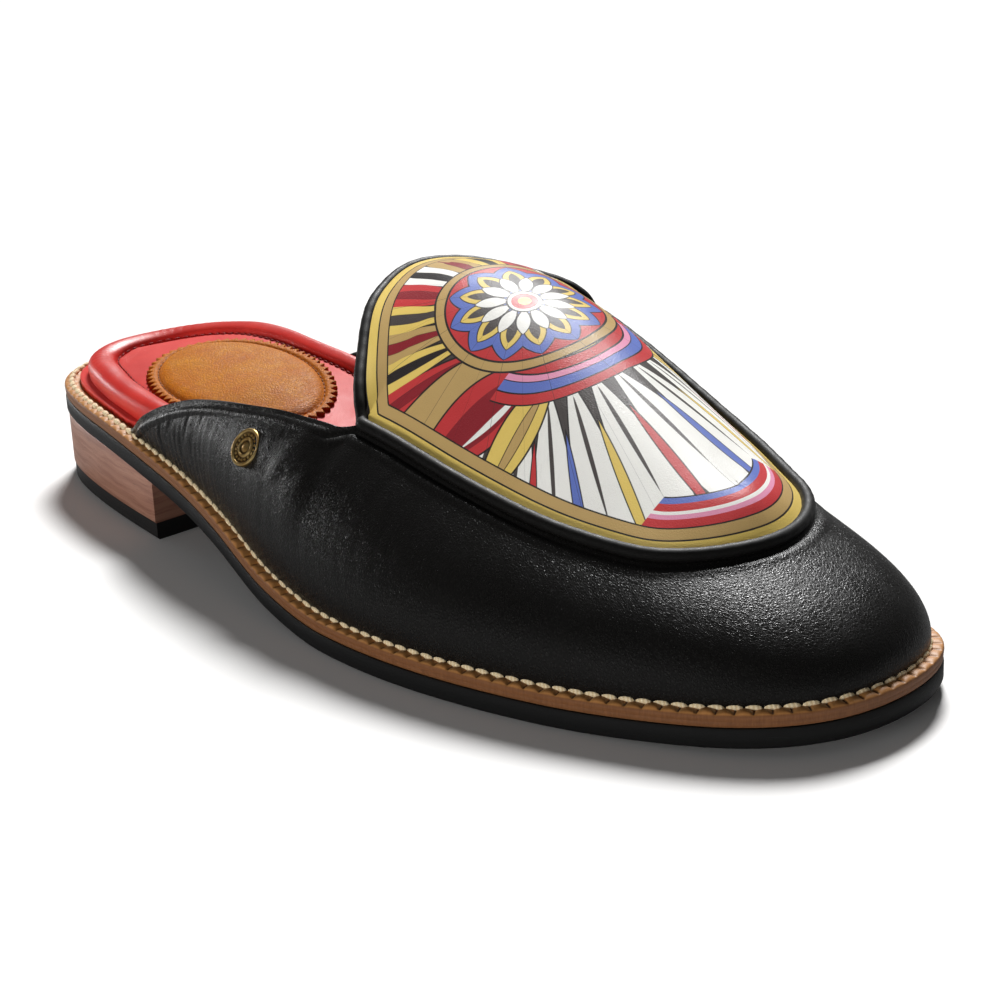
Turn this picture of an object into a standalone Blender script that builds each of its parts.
"""Right mule: a backless loafer with a stacked heel, a stitched welt and a hollow leather upper.

Frame: +X runs from heel to toe, the outer side of the foot is -Y, +Z is up, and the sole stands
on z = 0. Sizes below are millimetres, measured forward from the back of the sole, and every mesh
is written in metres with its bounding box centred over the origin.
"""

from collections import namedtuple

import bmesh
import bpy
import numpy as np
from mathutils import Vector

MM = 0.001
SHARP_OVER = 0.6
UP = np.array([0.0, 0.0, 1.0])

# Driving dimensions
SOLE_LENGTH = 294.8
OUTSOLE_THICK = 4.6
MIDSOLE_THICK = 3.0
HEEL_LENGTH = 78.4
LIFT_THICK = 4.7
GAP = 0.3
WELT_LEDGE = 4.2
UPPER_WALL = 2.0
INSOLE_INSET = 4.6
INSOLE_INSET_IN_UPPER = 7.2
RIM_THICK = 1.4
WING_START = 64.0
WING_TIP = 0.8
THROAT_X = 160.0
FAN_START = 190.0
RIDGE_END = 246.0
# Fullness of the last: how far each curve's handles reach, as shares of its span
WALL_BELLY = 0.5
WALL_BULGE = 1.0
WALL_LEAN = 0.06
SHOULDER_REACH = 0.42
SHOULDER_DROP = 0.3
SHOULDER_FADE = 8.0
PLUG_RISE = 0.38
PLUG_LEVEL = 0.42
PLUG_LIFT = 1.45
PLUG_STEEPEST = 0.95
RIDGE_FAN = 2.2
# Piping round the plug, lying in a shallow bed
PIPING_RADIUS = 1.6
PIPING_BED = 1.95
PIPING_RISE = 0.4
# Padded heel seat
ROLL_HEIGHT = 2.7
ROLL_END = 104.0
ROLL_BACK = (0.0, 1.5, 4.0, 8.0, 13.0)
ROLL_SPACING = 6.0
ROLL_SECTION = 8
STEP_CLEAR = 0.5
STEP_FADE = (9.0, 18.0)
PATCH_CENTRE = (70.4, -1.6)
PATCH_HALF = (35.6, 20.9)
PATCH_TURN = -0.09
PATCH_THICK = 1.6
PATCH_TEETH = 64
PATCH_TOOTH = 0.035
PATCH_SPINE = 0.85
PATCH_SPINE_POINTS = 9
# Stud on the outer wing
STUD_RADIUS = 4.9
STUD_GAP = 0.9
STUD_PLACE = (128.6, 37.2)
STUD_FACE = Vector((0.0, -0.826, 0.563))

# Half-widths of the sole, outer side and inner side of the foot
Sole = namedtuple("Sole", "x outer inner")
SOLE_ROWS = (
    Sole(8, 18.6, 20.4),
    Sole(30, 29.4, 32.2),
    Sole(65, 36.7, 34.0),
    Sole(105, 43.1, 32.6),
    Sole(147, 52.5, 37.2),
    Sole(187, 56.2, 46.0),
    Sole(223, 51.5, 47.4),
    Sole(257, 40.8, 38.7),
    Sole(286, 23.4, 26.5),
)
HEEL_BACK = (0.0, 0.5)
TOE_TIP = (SOLE_LENGTH, -0.5)

# Height of the outsole's underside above the floor: heel seat, arch, flat tread, toe spring
Under = namedtuple("Under", "x z")
UNDER_ROWS = (
    Under(0, 19.7),
    Under(45, 19.0),
    Under(85, 15.0),
    Under(115, 9.6),
    Under(145, 2.6),
    Under(172, 0.0),
    Under(235, 0.0),
    Under(268, 1.0),
    Under(295, 3.0),
)

# The ridge of the last, from the back of the tongue to the toe
Ridge = namedtuple("Ridge", "x y z")
RIDGE_ROWS = (
    Ridge(150, 13, 76.0),
    Ridge(165, 14, 74.2),
    Ridge(180, 14, 70.5),
    Ridge(200, 12, 62.6),
    Ridge(220, 9, 53.6),
    Ridge(240, 6, 44.2),
    Ridge(260, 3, 35.0),
)

# The seam between the plug and the apron, on each side of the foot, and its front point
Seam = namedtuple("Seam", "x outer_y outer_z inner_y inner_z")
SEAM_ROWS = (
    Seam(160, -30.8, 47.6, 49.0, 56.8),
    Seam(172, -31.0, 46.0, 48.4, 52.6),
    Seam(187, -31.0, 42.9, 47.2, 47.0),
    Seam(205, -30.3, 39.3, 44.6, 40.6),
    Seam(222, -28.4, 36.2, 40.0, 36.4),
    Seam(236, -24.8, 34.2, 33.8, 34.2),
    Seam(248, -19.0, 33.3, 25.8, 33.7),
)
SEAM_FRONT = (259.5, 3.0, 33.8)

# The free edge of the tongue, from the outer notch over the top to the inner notch
Edge = namedtuple("Edge", "x y z")
TONGUE_ROWS = (
    Edge(154.4, -26.1, 53.6),
    Edge(146.6, -18.0, 60.3),
    Edge(139.0, -9.0, 66.9),
    Edge(134.0, 0.6, 70.4),
    Edge(132.0, 10.6, 72.8),
    Edge(134.5, 21.0, 72.8),
    Edge(140.5, 29.0, 71.2),
    Edge(148.9, 38.6, 67.4),
    Edge(157.0, 46.0, 62.2),
)

# The top edge of the two wings behind the throat
Wing = namedtuple("Wing", "x outer_y outer_z inner_y inner_z")
WING_ROWS = (
    Wing(64, -32.6, 26.0, 27.7, 26.0),
    Wing(73, -34.0, 32.7, 29.0, 32.0),
    Wing(82, -34.3, 36.8, 31.0, 36.4),
    Wing(98, -34.5, 41.7, 34.0, 40.4),
    Wing(118, -34.5, 44.6, 38.4, 44.4),
    Wing(140, -34.3, 46.3, 44.0, 48.6),
    Wing(154, -33.8, 46.3, 47.6, 52.2),
    Wing(160, -30.8, 47.6, 49.0, 56.8),
)

# Height of the padded insole above the midsole
Pad = namedtuple("Pad", "x thick lean")
PAD_ROWS = (
    Pad(0, 3.6, 0.06),
    Pad(15, 4.5, 0.07),
    Pad(31, 6.2, 0.11),
    Pad(44, 7.1, 0.144),
    Pad(58, 7.9, 0.149),
    Pad(73, 9.1, 0.145),
    Pad(88, 10.3, 0.139),
    Pad(105, 10.7, 0.12),
    Pad(125, 10.2, 0.06),
    Pad(150, 8.4, 0.0),
    Pad(175, 4.8, 0.0),
    Pad(295, 4.0, 0.0),
)
# How far the padded roll's two feet lie inside the sole's edge, on each side
Roll = namedtuple("Roll", "x outer_from outer_to inner_from inner_to")
ROLL_ROWS = (
    Roll(0, 7.9, 15.5, 7.9, 15.5),
    Roll(14, 7.4, 15.2, 6.7, 14.0),
    Roll(29, 6.9, 14.8, 6.4, 13.0),
    Roll(43, 6.4, 14.0, 5.9, 12.5),
    Roll(58, 6.6, 14.0, 6.3, 12.2),
    Roll(70, 7.2, 14.0, 6.8, 12.4),
    Roll(104, 8.0, 14.2, 7.0, 12.4),
)

# The stud's turned profile, from its back up
Turned = namedtuple("Turned", "radius height")
STUD_ROWS = (
    Turned(STUD_RADIUS, 0.0),
    Turned(STUD_RADIUS, 0.7),
    Turned(4.2, 1.1),
    Turned(3.2, 0.8),
    Turned(2.6, 1.0),
    Turned(1.3, 1.4),
)


def columns(rows):
    """The table's columns as arrays."""
    return [np.array(column, float) for column in zip(*rows)]


def smooth(knots, values, at):
    """Monotone cubic through the knots: no overshoot, so a flat stretch stays flat."""
    step = np.diff(knots)
    slope = np.diff(values) / step
    tangent = np.zeros(len(knots))
    tangent[0], tangent[-1] = slope[0], slope[-1]
    for i in range(1, len(knots) - 1):
        if slope[i - 1] * slope[i] > 0:
            before = 2 * step[i] + step[i - 1]
            after = step[i] + 2 * step[i - 1]
            tangent[i] = (before + after) / (before / slope[i - 1] + after / slope[i])
    at = np.clip(np.asarray(at, float), knots[0], knots[-1])
    i = np.clip(np.searchsorted(knots, at, side="right") - 1, 0, len(step) - 1)
    t = (at - knots[i]) / step[i]
    start = (1 + 2 * t) * (1 - t) ** 2 * values[i] + t * (1 - t) ** 2 * step[i] * tangent[i]
    end = t * t * (3 - 2 * t) * values[i + 1] + t * t * (t - 1) * step[i] * tangent[i + 1]
    return start + end


def spline(points, closed, per_span=24):
    """Cubic spline through the points, spaced by the square root of the chord."""
    points = np.asarray(points, float)
    count = len(points)
    spans = count if closed else count - 1
    after = np.roll(points, -1, axis=0)
    step = np.sqrt(np.linalg.norm(after - points, axis=1))
    if not closed:
        step[-1] = step[-2]
    system = np.eye(count)
    right = np.zeros_like(points)
    for i in range(0 if closed else 1, count if closed else count - 1):
        back, ahead = step[i - 1], step[i]
        system[i, i] = 2 * (back + ahead)
        system[i, i - 1] += back
        system[i, (i + 1) % count] += ahead
        rise = (points[(i + 1) % count] - points[i]) / ahead - (points[i] - points[i - 1]) / back
        right[i] = 6 * rise
    bend = np.linalg.solve(system, right)
    found = []
    for i in range(spans):
        j, width = (i + 1) % count, step[i]
        t = (np.arange(per_span) / per_span * width)[:, None]
        curve = (bend[i] * (width - t) ** 3 + bend[j] * t**3) / (6 * width)
        line_from = (points[i] / width - bend[i] * width / 6) * (width - t)
        line_to = (points[j] / width - bend[j] * width / 6) * t
        found.append(curve + line_from + line_to)
    if not closed:
        found.append(points[-1:])
    return np.vstack(found)


def lengths(curve):
    """Distance along a curve at each of its points, from 0 to 1."""
    along = np.concatenate([[0.0], np.cumsum(np.linalg.norm(np.diff(curve, axis=0), axis=1))])
    return along / along[-1]


def at_length(curve, fraction):
    """Points at these fractions of a curve's length."""
    along = lengths(curve)
    return np.stack([np.interp(fraction, along, column) for column in curve.T], axis=-1)


def under(x):
    knots, heights = columns(UNDER_ROWS)
    return smooth(knots, heights, x)


def outsole_top(x):
    return under(x) + OUTSOLE_THICK


def welt_top(x):
    return outsole_top(x) + GAP + MIDSOLE_THICK


def sole_sides():
    """The sole's edge seen from above, as the outer and the inner side, each from heel to toe."""
    outer = [(row.x, -row.outer) for row in SOLE_ROWS]
    inner = [(row.x, row.inner) for row in SOLE_ROWS]
    outline = spline([HEEL_BACK, *outer, TOE_TIP, *inner[::-1]], closed=True)
    outline = np.roll(outline, -int(outline[:, 0].argmin()), axis=0)
    toe = int(outline[:, 0].argmax())
    return outline[: toe + 1], np.vstack([outline[toe:], outline[:1]])[::-1]


SOLE_SIDES = sole_sides()


def inset_sides(inset):
    """The sole's two sides moved inwards by a distance, by a function of x, or by one for each side."""
    moved = []
    for turn, points, by in zip((1, -1), SOLE_SIDES, inset if isinstance(inset, tuple) else (inset, inset)):
        along = np.gradient(points, axis=0)
        along /= np.linalg.norm(along, axis=1)[:, None]
        inwards = turn * np.stack([-along[:, 1], along[:, 0]], axis=-1)
        inwards[0], inwards[-1] = (1, 0), (-1, 0)
        moved.append(points + inwards * (by(points[:, 0])[:, None] if callable(by) else by))
    return moved


def at_stations(sides, x):
    """Points of two moved sides that belong to these x of the sole's own edge."""
    found = []
    for points, base in zip(sides, SOLE_SIDES):
        place = np.interp(x, base[:, 0], np.arange(len(base)))
        found.append(np.stack([np.interp(place, np.arange(len(base)), c) for c in points.T], axis=-1))
    return found


def new_object(name, vertices, faces, material):
    """A smooth-shaded object from vertices in millimetres, welded and facing out."""
    mesh = bpy.data.meshes.new(name)
    mesh.from_pydata([tuple(v) for v in np.asarray(vertices) * MM], [], faces)
    shape = bmesh.new()
    shape.from_mesh(mesh)
    bmesh.ops.remove_doubles(shape, verts=shape.verts, dist=2e-6)
    bmesh.ops.dissolve_degenerate(shape, edges=shape.edges, dist=1e-6)
    bmesh.ops.recalc_face_normals(shape, faces=shape.faces)
    shape.to_mesh(mesh)
    shape.free()
    mesh.shade_smooth()
    mesh.set_sharp_from_angle(angle=SHARP_OVER)
    mesh.materials.append(material)
    made = bpy.data.objects.new(name, mesh)
    bpy.context.scene.collection.objects.link(made)
    return made


def new_material(name, colour, roughness, metallic=0.0):
    material = bpy.data.materials.new(name)
    material.use_nodes = True
    shader = material.node_tree.nodes["Principled BSDF"]
    shader.inputs["Base Color"].default_value = (*colour, 1)
    shader.inputs["Roughness"].default_value = roughness
    shader.inputs["Metallic"].default_value = metallic
    return material


def loft(name, rings, material, closed=False):
    """An object through a row of equal rings of points; an open row gets flat ends."""
    rings = np.asarray(rings)
    count, size = rings.shape[:2]
    faces = []
    for i in range(count if closed else count - 1):
        j = (i + 1) % count
        for k in range(size):
            m = (k + 1) % size
            faces.append((i * size + k, i * size + m, j * size + m, j * size + k))
    if not closed:
        faces += [tuple(range(size)), tuple((count - 1) * size + k for k in range(size))]
    return new_object(name, rings.reshape(-1, 3), faces, material)


def level(height):
    """A height that depends only on x, for a slab's rim."""
    return lambda points: height(points[:, 0])


def slab(name, material, rims, end=SOLE_LENGTH, count=56):
    """A plate with the sole's outline; its rims, from the bottom up, are (inset, height of points)."""
    x = end * (1 - np.cos(np.linspace(0, np.pi, count))) / 2
    outer, inner = [], []
    for inset, height in rims:
        for side, points in zip((outer, inner), at_stations(inset_sides(inset), x)):
            side.append(np.column_stack([points, height(points)]))
    return loft(name, np.stack([*outer, *inner[::-1]], axis=1), material)


def blend(a, b, t):
    return a + (b - a) * t


def bezier(p0, p1, p2, p3, count):
    """Points on a cubic from p0 to p3, both ends included; each p is a row of stations."""
    t = np.linspace(0, 1, count)[None, :, None]
    p0, p1, p2, p3 = (p[:, None] for p in (p0, p1, p2, p3))
    return (1 - t) ** 3 * p0 + 3 * t * (1 - t) ** 2 * p1 + 3 * t * t * (1 - t) * p2 + t**3 * p3


def stations(start, side_count, fan_count):
    """Stations along the last: x up to FAN_START, then FAN_START + 0..1 round the toe."""
    sides = np.linspace(start, FAN_START, side_count)
    fan = FAN_START + np.linspace(0, 1, fan_count + 1)[1:]
    return np.concatenate([sides, fan])


def follow(edge, at):
    """Points of an edge at the stations: by x on the sides, by length round the toe."""
    cut = int(np.argmax(edge[:, 0] >= FAN_START))
    at_cut = np.array([np.interp(FAN_START, edge[: cut + 1, 0], c) for c in edge[: cut + 1].T])
    front = np.vstack([at_cut, edge[cut:]])
    x = np.clip(at, edge[0, 0], FAN_START)
    on_side = np.stack([np.interp(x, edge[: cut + 1, 0], c) for c in edge[: cut + 1].T], axis=-1)
    in_front = at_length(front, np.clip(at - FAN_START, 0, 1))
    return np.where((at <= FAN_START)[:, None], on_side, in_front)


def feather(side):
    """Where the upper meets the welt, on one side, as points from heel to toe."""
    edge = inset_sides(WELT_LEDGE)[0 if side < 0 else 1]
    return np.column_stack([edge, welt_top(edge[:, 0]) + GAP])


def seam(side):
    """The plug's seam on one side, from the throat to its front point."""
    x, outer_y, outer_z, inner_y, inner_z = columns(SEAM_ROWS)
    outer = list(zip(x, outer_y, outer_z))
    inner = list(zip(x, inner_y, inner_z))
    whole = spline([*outer, SEAM_FRONT, *inner[::-1]], closed=False)
    front = int(whole[:, 0].argmax())
    return whole[: front + 1] if side < 0 else whole[front:][::-1]


def ridge(at):
    """The ridge point of each station; its x falls behind the outline round the toe."""
    x, y, z = columns(RIDGE_ROWS)
    turn = np.clip(at - FAN_START, 0, 1)
    in_fan = FAN_START + (RIDGE_END - FAN_START) * (1 - (1 - turn) ** RIDGE_FAN)
    place = np.where(at <= FAN_START, at, in_fan)
    return np.stack([place, smooth(x, y, place), smooth(x, z, place)], axis=-1)


def wall(low, high, side, count):
    """The apron or a wing: from the feather line up and over to its top edge."""
    along = np.gradient(low[:, :2], axis=0)
    along /= np.linalg.norm(along, axis=1)[:, None]
    out = side * np.column_stack([-along[:, 1], along[:, 0], np.zeros(len(low))])
    if low[-1, 0] > FAN_START:
        out[-1] = (1, 0, 0)
    rise = (high - low)[:, 2:]
    over = np.clip(np.sum((low - high) * out, axis=1)[:, None], 0, None)
    belly = low + UP * rise * WALL_BELLY + out * (WALL_BULGE + WALL_LEAN * rise)
    reach = SHOULDER_REACH * over + WALL_LEAN * rise
    drop = SHOULDER_REACH * reach + SHOULDER_DROP * rise * np.exp(-over / SHOULDER_FADE)
    return bezier(low, belly, high + out * reach - UP * drop, high, count)


def plug_direction(side_points, ridge_points):
    """The plug's direction at its seam, its level direction, and the level distance to the ridge."""
    across = ridge_points - side_points
    flat = np.linalg.norm(across[:, :2], axis=1)[:, None]
    level = np.column_stack([across[:, :2] / flat, np.zeros(len(flat))])
    lift = np.clip(PLUG_LIFT * across[:, 2:] / flat, 0.0, PLUG_STEEPEST)
    return level + UP * lift, level, flat


def arch(side_points, ridge_points, count):
    """Half of the plug: from its seam up to the ridge."""
    start, level, flat = plug_direction(side_points, ridge_points)
    leaving = side_points + start * flat * PLUG_RISE
    arriving = ridge_points - level * flat * PLUG_LEVEL
    return bezier(side_points, leaving, arriving, ridge_points, count)


def seam_normal(side_points, ridge_points, side):
    """Outward unit normals of the plug along its seam."""
    start, _, _ = plug_direction(side_points, ridge_points)
    along = np.gradient(side_points, axis=0)
    along[-1] = (0, -side, 0)
    normal = np.cross(start, along) * side
    return normal / np.linalg.norm(normal, axis=1)[:, None]


def tongue_edge(throat):
    """The cord's path along the tongue's free edge, at the lengths of the throat's points."""
    curve = spline([throat[0], *TONGUE_ROWS, throat[-1]], closed=False)
    return at_length(curve, lengths(throat))


def wing_edge(side, at):
    x, outer_y, outer_z, inner_y, inner_z = columns(WING_ROWS)
    y, z = (outer_y, outer_z) if side < 0 else (inner_y, inner_z)
    return np.stack([at, smooth(x, y, at), smooth(x, z, at)], axis=-1)


def upper_patches(wing_count=12, side_count=5, fan_count=18, wall_rows=8, arch_rows=9, tongue_rows=6):
    """The outer skin as grids of points that share borders, and the path of the cord round the plug."""
    at = stations(THROAT_X, side_count, fan_count)
    crest = ridge(at)
    patches, halves, cords = [], [], []
    for side in (-1, 1):
        line = follow(seam(side), at)
        normal = seam_normal(line, crest, side)
        bed = line - normal * (PIPING_BED - PIPING_RISE)
        patches.append(wall(follow(feather(side), at), bed, side, wall_rows))
        halves.append(arch(bed, crest, arch_rows))
        cords.append(line + normal * PIPING_RISE)
    plug = np.concatenate([halves[0], halves[1][:, ::-1][:, 1:]], axis=1)
    for index, side in enumerate((-1, 1)):
        at_wing = np.linspace(WING_START, THROAT_X, wing_count)
        low, high = follow(feather(side), at_wing), wing_edge(side, at_wing)
        high[0] = low[0] + (0, 0, WING_TIP)
        wing = wall(low, high, side, wall_rows)
        wing[-1] = patches[index][0]
        patches.append(wing)
    throat = plug[0]
    edge = tongue_edge(throat)
    back = throat - edge
    reach = np.linalg.norm(back, axis=1)[:, None]
    edge_line = edge + back * np.minimum(PIPING_BED / np.maximum(reach, PIPING_BED), 0.5)
    steps = np.linspace(0, 1, tongue_rows)[:, None, None]
    patches += [plug, blend(throat[None], edge_line[None], steps)]
    cord = np.vstack([cords[0], cords[1][-2::-1], edge[-2:0:-1]])
    return patches, cord


def upper_sheet(patches):
    """One sheet of shared vertices and faces from the patches."""
    vertices, faces, known = [], [], {}

    def index(point):
        key = tuple(np.round(point, 3))
        if key not in known:
            known[key] = len(vertices)
            vertices.append(point)
        return known[key]

    for grid in patches:
        numbers = [[index(point) for point in row] for row in grid]
        for a, b in zip(numbers, numbers[1:]):
            for k in range(len(a) - 1):
                ring = [a[k], b[k], b[k + 1], a[k + 1]]
                ring = [v for n, v in enumerate(ring) if v != ring[n - 1]]
                if len(set(ring)) > 2:
                    faces.append(tuple(dict.fromkeys(ring)))
    return np.array(vertices), faces


def thick_sheet(name, vertices, faces, material):
    """A closed solid from the upper's sheet: an inner skin, closed rims and a level lower edge."""
    guide = bmesh.new()
    made = [guide.verts.new(v) for v in vertices]
    for face in faces:
        guide.faces.new([made[k] for k in face])
    bmesh.ops.recalc_face_normals(guide, faces=guide.faces)
    if max(guide.verts, key=lambda v: v.co.z).normal.z < 0:
        bmesh.ops.reverse_faces(guide, faces=guide.faces)
    guide.normal_update()
    guide.verts.index_update()
    inner = vertices - np.array([v.normal for v in made]) * UPPER_WALL
    count = len(vertices)
    rings = [tuple(v.index for v in face.verts) for face in guide.faces]
    rings += [tuple(k + count for k in reversed(ring)) for ring in rings]
    for edge in guide.edges:
        if len(edge.link_faces) > 1:
            continue
        a, b = edge.link_loops[0].vert.index, edge.link_loops[0].link_loop_next.vert.index
        rings.append((b, a, a + count, b + count))
        for k in (a, b):
            if vertices[k, 2] < rim_top(vertices[k, 0]):
                inner[k, 2] = vertices[k, 2]
    guide.free()
    return new_object(name, np.vstack([vertices, inner]), rings, material)


def cord_round(name, path, radius, material, sides=8):
    """A round cord along a closed path."""
    ahead = np.roll(path, -1, axis=0) - np.roll(path, 1, axis=0)
    ahead /= np.linalg.norm(ahead, axis=1)[:, None]
    level = np.cross(ahead, UP)
    level /= np.linalg.norm(level, axis=1)[:, None]
    turn = np.linspace(0, 2 * np.pi, sides, endpoint=False)[None, :, None]
    rings = np.cos(turn) * level[:, None] + np.sin(turn) * np.cross(level, ahead)[:, None]
    return loft(name, path[:, None] + radius * rings, material, closed=True)


def insole_inset(x):
    return np.interp(x, (WING_START - 6, WING_START), (INSOLE_INSET, INSOLE_INSET_IN_UPPER))


def roll_inset(part):
    """Where the roll's section is at this part of its width, inside the sole's outer and inner side."""
    x, outer_from, outer_to, inner_from, inner_to = columns(ROLL_ROWS)
    outer, inner = blend(outer_from, outer_to, part), blend(inner_from, inner_to, part)
    return lambda at: smooth(x, outer, at), lambda at: smooth(x, inner, at)


def step_inset():
    """Where the insole steps up to its padded middle: inside the roll, then out to its own rim."""
    outer, inner = roll_inset(1)

    def beside(side):
        rim = INSOLE_INSET_IN_UPPER + STEP_CLEAR
        return lambda x: blend(side(x) + GAP, rim, np.interp(x - ROLL_END, STEP_FADE, (0, 1)))

    return beside(outer), beside(inner)


def rim_top(x):
    return welt_top(x) + GAP + RIM_THICK


def insole_top(points):
    """The padded middle, which rises towards the foot's inner side at the heel."""
    knots, thick, lean = columns(PAD_ROWS)
    x, y = points[:, 0], points[:, 1]
    return welt_top(x) + GAP + smooth(knots, thick, x) + smooth(knots, lean, x) * y


def roll(material):
    """The padded horseshoe round the heel seat: it stands on the insole's rim, beside its step."""
    x = np.concatenate([ROLL_BACK, np.arange(ROLL_END, ROLL_BACK[-1] + ROLL_SPACING / 2, -ROLL_SPACING)[::-1]])
    across = (1 - np.cos(np.linspace(0, np.pi, ROLL_SECTION))) / 2
    paths = []
    for part in across:
        outer, inner = at_stations(inset_sides(roll_inset(part)), x)
        paths.append(np.vstack([outer[::-1], inner[1:]]))
    outer_foot = rim_top(paths[0][:, 0]) + GAP
    inner_foot = insole_top(paths[-1])
    crest = inner_foot + ROLL_HEIGHT
    rings = []
    for part, path in zip(across, paths):
        foot = outer_foot if part < 0.5 else inner_foot
        arc = np.sqrt(max(1 - (2 * part - 1) ** 2, 0))
        rings.append(np.column_stack([path, foot + (crest - foot) * arc]))
    rings.append(np.column_stack([paths[-1], rim_top(paths[-1][:, 0]) + GAP]))
    return loft("heel_roll", np.stack(rings, axis=1), material)


def patch(material):
    """The oval sock patch with a pinked edge, lying on the insole."""
    turn = np.linspace(0, 2 * np.pi, 2 * PATCH_TEETH, endpoint=False)
    reach = 1 - PATCH_TOOTH * (np.arange(len(turn)) % 2)
    rim = np.column_stack([reach * np.cos(turn), reach * np.sin(turn)])
    middle = np.linspace(-PATCH_SPINE, PATCH_SPINE, PATCH_SPINE_POINTS)
    spine = np.column_stack([middle, np.zeros_like(middle)])
    cos, sin = np.cos(PATCH_TURN), np.sin(PATCH_TURN)
    flat = PATCH_CENTRE + (np.vstack([rim, spine]) * PATCH_HALF) @ np.array([[cos, sin], [-sin, cos]])
    low = np.column_stack([flat, insole_top(flat) + GAP])
    count, layer = len(rim), len(flat)
    nearest = count + np.abs(rim[:, :1] - spine[:, 0]).argmin(axis=1)
    faces = []
    for i in range(count):
        j = (i + 1) % count
        top = dict.fromkeys((i, j, int(nearest[j]), int(nearest[i])))
        faces += [tuple(top), tuple(k + layer for k in top), (i, j, layer + j, layer + i)]
    return new_object("heel_patch", np.vstack([low, low + UP * PATCH_THICK]), faces, material)


def on_wall(grid, x, z):
    """The point of a wall at this x and height."""
    at_height = [[np.interp(z, row[:, 2], row[:, k]) for k in (0, 1)] for row in grid]
    at_x, at_y = np.array(at_height).T
    return np.array([x, np.interp(x, at_x, at_y), z])


def stud(material, wing):
    """A round stud with a raised rim and a domed middle, placed on the outer wing."""
    turn = np.linspace(0, 2 * np.pi, 24, endpoint=False)
    rings = [
        np.column_stack([r * np.cos(turn), r * np.sin(turn), np.full(len(turn), z)])
        for r, z in STUD_ROWS
    ]
    made = loft("stud", rings, material)
    made.location = (Vector(on_wall(wing, *STUD_PLACE)) + STUD_FACE * STUD_GAP) * MM
    made.rotation_euler = STUD_FACE.to_track_quat("Z", "Y").to_euler()
    return made


def build():
    for old in list(bpy.data.objects):
        bpy.data.objects.remove(old)
    black = new_material("black leather", (0.012, 0.011, 0.010), 0.45)
    rubber = new_material("black rubber", (0.018, 0.017, 0.016), 0.6)
    tan = new_material("tan welt leather", (0.34, 0.17, 0.07), 0.55)
    wood = new_material("stacked heel leather", (0.30, 0.16, 0.10), 0.5)
    red = new_material("red lining leather", (0.62, 0.03, 0.03), 0.45)
    ochre = new_material("ochre patch leather", (0.60, 0.29, 0.07), 0.5)
    brass = new_material("brass", (0.60, 0.42, 0.16), 0.3, 1.0)

    patches, cord = upper_patches()
    made = [
        slab("outsole", rubber, [(0.0, level(under)), (0.0, level(outsole_top))]),
        slab("midsole", tan, [(0.2, level(lambda x: outsole_top(x) + GAP)), (0.2, level(welt_top))]),
        slab(
            "insole",
            red,
            [
                (insole_inset, level(lambda x: welt_top(x) + GAP)),
                (insole_inset, level(rim_top)),
                (step_inset(), level(rim_top)),
                (step_inset(), insole_top),
            ],
        ),
        slab(
            "heel_stack",
            wood,
            [(0.4, lambda points: np.full(len(points), LIFT_THICK + GAP)), (0.4, level(lambda x: under(x) - GAP))],
            end=HEEL_LENGTH,
            count=30,
        ),
        slab(
            "top_lift",
            rubber,
            [(0.6, lambda points: np.zeros(len(points))), (0.6, lambda points: np.full(len(points), LIFT_THICK))],
            end=HEEL_LENGTH,
            count=30,
        ),
        roll(red),
        patch(ochre),
        thick_sheet("upper", *upper_sheet(patches), black),
        cord_round("plug_piping", cord, PIPING_RADIUS, black),
        stud(brass, patches[2]),
    ]
    bpy.context.view_layer.update()
    corners = np.array([made_one.matrix_world @ v.co for made_one in made for v in made_one.data.vertices])
    low, high = corners.min(axis=0), corners.max(axis=0)
    shoe = bpy.data.objects.new("mule", None)
    bpy.context.scene.collection.objects.link(shoe)
    shoe.location = (-(low[0] + high[0]) / 2, -(low[1] + high[1]) / 2, 0)
    for piece in made:
        piece.parent = shoe


build()
